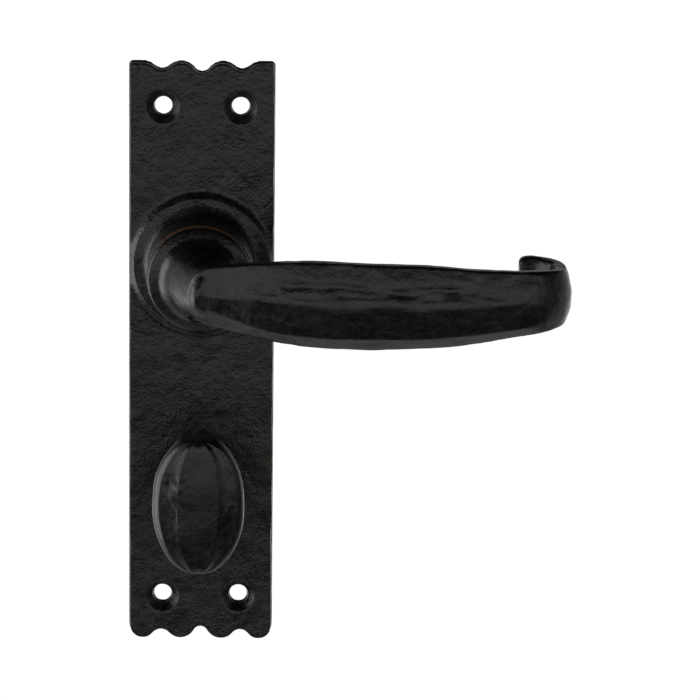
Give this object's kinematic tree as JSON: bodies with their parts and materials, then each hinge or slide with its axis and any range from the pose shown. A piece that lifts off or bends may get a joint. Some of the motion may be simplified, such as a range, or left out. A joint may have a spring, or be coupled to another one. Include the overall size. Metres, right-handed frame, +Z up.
{
  "type": "lever door handle",
  "caption": "Sprung cast-iron lever handle with a curled tip on a tall scalloped backplate, with an oval thumb turn below it for a privacy lock.",
  "frame": {"origin": "on the lever's turning axis, in the plane of the backplate's door face, where the square spindle passes through", "axes": "+X along the lever towards its tip, +Y into the door along the spindles, +Z up along the backplate"},
  "size_m": [0.1137, 0.1195, 0.1548],
  "materials": {
    "plate_iron": "satin black coating over a granular cast face",
    "lever_iron": "satin black coating over hammered iron",
    "turn_iron": "satin black coating over hammered iron",
    "bronze": "turned, dulled by handling",
    "zinc_steel": "zinc plated",
    "spring_steel": "oiled",
    "black_oxide_steel": "black oxide",
    "nylon": "natural"
  },
  "bodies": {
    "plate": {"backplate": "plate_iron", "lever_bush": "bronze", "return_spring": "spring_steel", "spring_sleeve": "nylon", "retaining_washer": "zinc_steel", "turn_bush": "bronze", "turn_spring_washer": "spring_steel"},
    "handle": {"lever": "lever_iron", "lever_spindle": "zinc_steel", "spindle_grub_screw": "black_oxide_steel", "spring_driver": "zinc_steel", "lever_circlip": "spring_steel"},
    "turn": {"thumb_turn": "turn_iron", "turn_spindle": "zinc_steel", "turn_cross_pin": "zinc_steel", "turn_circlip": "spring_steel", "turn_washer": "zinc_steel"}
  },
  "joints": [
    {"name": "lever_turn", "type": "hinge", "parent": "plate", "child": "handle", "pos_m": [0, 0, 0], "axis": [0, 1, 0], "range_deg": [0, 55], "stiffness_Nm_per_rad": 0.9, "springref_deg": -28.65, "deforming": ["return_spring"]},
    {"name": "thumb_turn", "type": "hinge", "parent": "plate", "child": "turn", "pos_m": [0, 0, -0.057], "axis": [0, 1, 0], "range_deg": [-90, 90]}
  ]
}
